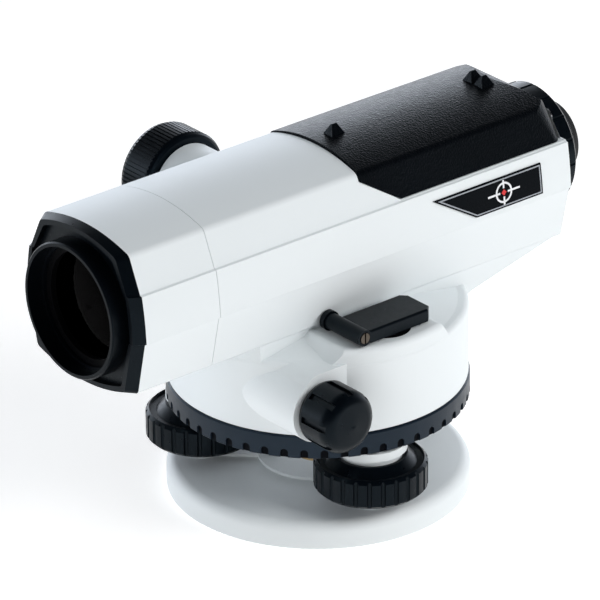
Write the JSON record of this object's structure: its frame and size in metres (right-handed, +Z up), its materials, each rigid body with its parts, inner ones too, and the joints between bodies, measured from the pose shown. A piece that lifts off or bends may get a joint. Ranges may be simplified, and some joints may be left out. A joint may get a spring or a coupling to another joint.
{
  "type": "automatic level",
  "caption": "Self-levelling surveying telescope on a three-screw levelling base, with focus knob, tangent screw, turning circle and circular bubble with flip mirror.",
  "frame": {"origin": "centre of the tripod thread at the base plate's underside", "axes": "+Z up along the standing axis; the telescope lies along Y with the objective towards -Y and the eyepiece towards +Y; the bubble mirror is on the +X side and the focus knob on the -X side"},
  "size_m": [0.1244, 0.2143, 0.1323],
  "materials": {
    "white_paint": "gloss",
    "black_cover": "matte",
    "black_paint": "satin",
    "knob_plastic": "satin",
    "badge": "gloss",
    "black_anodised": "matte",
    "steel": "satin",
    "brass": "satin",
    "rubber": "matte",
    "lens_glass": "polished",
    "mirror": "polished",
    "vial_glass": "polished"
  },
  "bodies": {
    "base": {"base_plate": "white_paint", "tripod_insert": "brass", "spring_plate": "white_paint", "spring_plate_screws": "steel"},
    "head": {"tribrach_body": "white_paint", "foot_screw_bushes": "brass", "spindle": "steel", "spindle_nut": "brass", "clutch_washer": "brass", "front_foot_shoes": "steel"},
    "foot_shoe_a": {"rear_foot_shoe": "steel"},
    "foot_screw_a": {"foot_stem_a": "steel", "foot_knob_a": "knob_plastic"},
    "foot_screw_b": {"foot_stem_b": "steel", "foot_knob_b": "knob_plastic"},
    "foot_screw_c": {"foot_stem_c": "steel", "foot_knob_c": "knob_plastic"},
    "circle": {"horizontal_circle": "black_paint"},
    "drive_wheel": {"drive_wheel": "brass"},
    "upper": {"main_housing": "white_paint", "front_housing": "white_paint", "objective_hood": "knob_plastic", "top_cover": "black_cover", "cover_screws": "steel", "name_plates": "badge", "objective_barrel": "black_paint", "lens_retaining_ring": "black_anodised", "objective_front_lens": "lens_glass", "objective_rear_lens": "lens_glass", "focus_guide_tube": "black_anodised", "focus_bush": "brass", "compensator_frame": "black_anodised", "fixed_prisms": "lens_glass", "damper_magnets": "steel", "reticle_cell": "brass", "reticle_glass": "lens_glass", "reticle_screws": "steel", "eyepiece_tube": "black_anodised", "eyepiece_cover": "knob_plastic", "vial_case": "black_anodised", "vial_glass": "vial_glass", "vial_screws": "steel", "mirror_pin": "steel", "axis_sleeve": "brass", "slow_motion_bushes": "brass"},
    "slow_motion": {"slow_motion_shaft": "steel", "slow_motion_knobs": "knob_plastic"},
    "focus_knob": {"focus_knob": "knob_plastic", "focus_pinion": "steel"},
    "focus_cell": {"focus_cell": "brass", "focus_lens": "lens_glass"},
    "diopter": {"diopter_ring": "knob_plastic", "eyecup": "rubber", "eye_lens": "lens_glass"},
    "mirror": {"mirror_flap": "knob_plastic", "mirror_glass": "mirror"},
    "pendulum": {"pendulum_frame": "brass", "pendulum_prism": "lens_glass", "damper_vane": "black_anodised", "suspension_wires": "steel"}
  },
  "joints": [
    {"name": "foot_screw_a_turn", "type": "hinge", "parent": "foot_shoe_a", "child": "foot_screw_a", "pos_m": [-0.01136, 0.03835, 0.0075], "axis": [0, 0, 1], "range_deg": [-566, 566]},
    {"name": "head_tilt", "type": "hinge", "parent": "base", "child": "head", "pos_m": [0.00568, -0.01918, 0.0075], "axis": [0.9588, 0.284, 0], "range_deg": [-1.5, 1.5]},
    {"name": "foot_shoe_a_slide", "type": "slide", "parent": "head", "child": "foot_shoe_a", "axis": [0, 0, 1], "range_m": [-0.0016, 0.0016]},
    {"name": "foot_screw_b_turn", "type": "hinge", "parent": "head", "child": "foot_screw_b", "pos_m": [-0.02753, -0.02901, 0.0075], "axis": [0, 0, 1], "range_deg": [-565, 565]},
    {"name": "foot_screw_c_turn", "type": "hinge", "parent": "head", "child": "foot_screw_c", "pos_m": [0.03889, -0.00934, 0.0075], "axis": [0, 0, 1], "range_deg": [-565, 565]},
    {"name": "circle_turn", "type": "hinge", "parent": "head", "child": "circle", "pos_m": [0, 0, 0.038], "axis": [0, 0, 1], "continuous": true},
    {"name": "swing_turn", "type": "hinge", "parent": "head", "child": "drive_wheel", "pos_m": [0, 0, 0.0565], "axis": [0, 0, 1], "continuous": true},
    {"name": "slow_swing", "type": "hinge", "parent": "drive_wheel", "child": "upper", "pos_m": [0, 0, 0.0565], "axis": [0, 0, 1], "continuous": true},
    {"name": "slow_motion_turn", "type": "hinge", "parent": "upper", "child": "slow_motion", "pos_m": [0, -0.0365, 0.0565], "axis": [1, 0, 0], "continuous": true},
    {"name": "focus_knob_turn", "type": "hinge", "parent": "upper", "child": "focus_knob", "pos_m": [-0.04, -0.0215, 0.104], "axis": [1, 0, 0], "range_deg": [-155, 155]},
    {"name": "focus_slide", "type": "slide", "parent": "upper", "child": "focus_cell", "axis": [0, 1, 0], "range_m": [-0.0081, 0.0081]},
    {"name": "diopter_turn", "type": "hinge", "parent": "upper", "child": "diopter", "pos_m": [0, 0.1, 0.0982], "axis": [0, 1, 0], "range_deg": [-170, 170]},
    {"name": "mirror_flip", "type": "hinge", "parent": "upper", "child": "mirror", "pos_m": [0.04, -0.0185, 0.0775], "axis": [1, 0, 0], "range_deg": [0, 55]},
    {"name": "pendulum_swing", "type": "hinge", "parent": "upper", "child": "pendulum", "pos_m": [0, 0.034, 0.109], "axis": [1, 0, 0], "range_deg": [-1, 1]}
  ],
  "couplings": [
    {"joint": "foot_screw_a_turn", "follows": "head_tilt", "ratio": -376.99},
    {"joint": "foot_shoe_a_slide", "follows": "head_tilt", "m_per_rad": -0.06},
    {"joint": "slow_swing", "follows": "slow_motion_turn", "ratio": 0.016129},
    {"joint": "focus_knob_turn", "follows": "focus_slide", "rad_per_m": 333.33}
  ]
}
